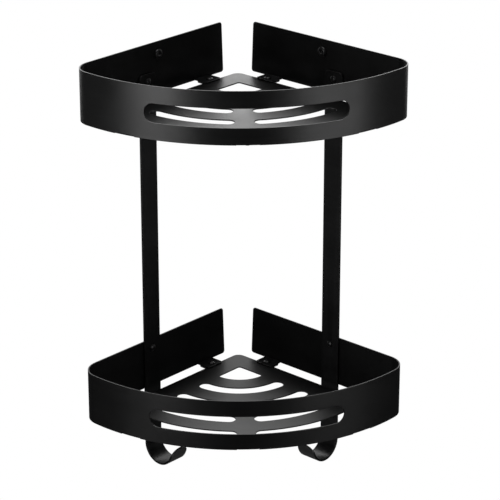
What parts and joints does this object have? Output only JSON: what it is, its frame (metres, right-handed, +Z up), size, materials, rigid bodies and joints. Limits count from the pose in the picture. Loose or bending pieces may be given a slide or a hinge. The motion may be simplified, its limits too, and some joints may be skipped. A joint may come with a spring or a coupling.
{
  "type": "corner shower caddy",
  "caption": "Corner caddy for a shower wall: curved open baskets, one above the other, on flat straps that end in hooks for a sponge or razor.",
  "frame": {"origin": "point on the line where the two walls meet, level with the two wall screws", "axes": "+Z up, along the line where the two walls meet; +Y from the room into the corner, in the middle plane; +X to the right seen from the room"},
  "size_m": [0.2822, 0.2092, 0.4035],
  "materials": {
    "black_sheet": "satin black",
    "black_rivet": "satin black",
    "black_screw": "blackened"
  },
  "bodies": {
    "root": {"left_strap": "black_sheet", "left_wall_screw": "black_screw", "lower_rail": "black_sheet", "lower_strap_rivet_left": "black_rivet", "lower_strap_rivet_right": "black_rivet", "lower_tray": "black_sheet", "lower_tray_rivet_corner_left": "black_rivet", "lower_tray_rivet_corner_right": "black_rivet", "lower_tray_rivet_front_left": "black_rivet", "lower_tray_rivet_front_middle": "black_rivet", "lower_tray_rivet_front_right": "black_rivet", "right_strap": "black_sheet", "right_wall_screw": "black_screw", "upper_rail": "black_sheet", "upper_strap_rivet_left": "black_rivet", "upper_strap_rivet_right": "black_rivet", "upper_tray": "black_sheet", "upper_tray_rivet_corner_left": "black_rivet", "upper_tray_rivet_corner_right": "black_rivet", "upper_tray_rivet_front_left": "black_rivet", "upper_tray_rivet_front_middle": "black_rivet", "upper_tray_rivet_front_right": "black_rivet"}
  },
  "joints": []
}
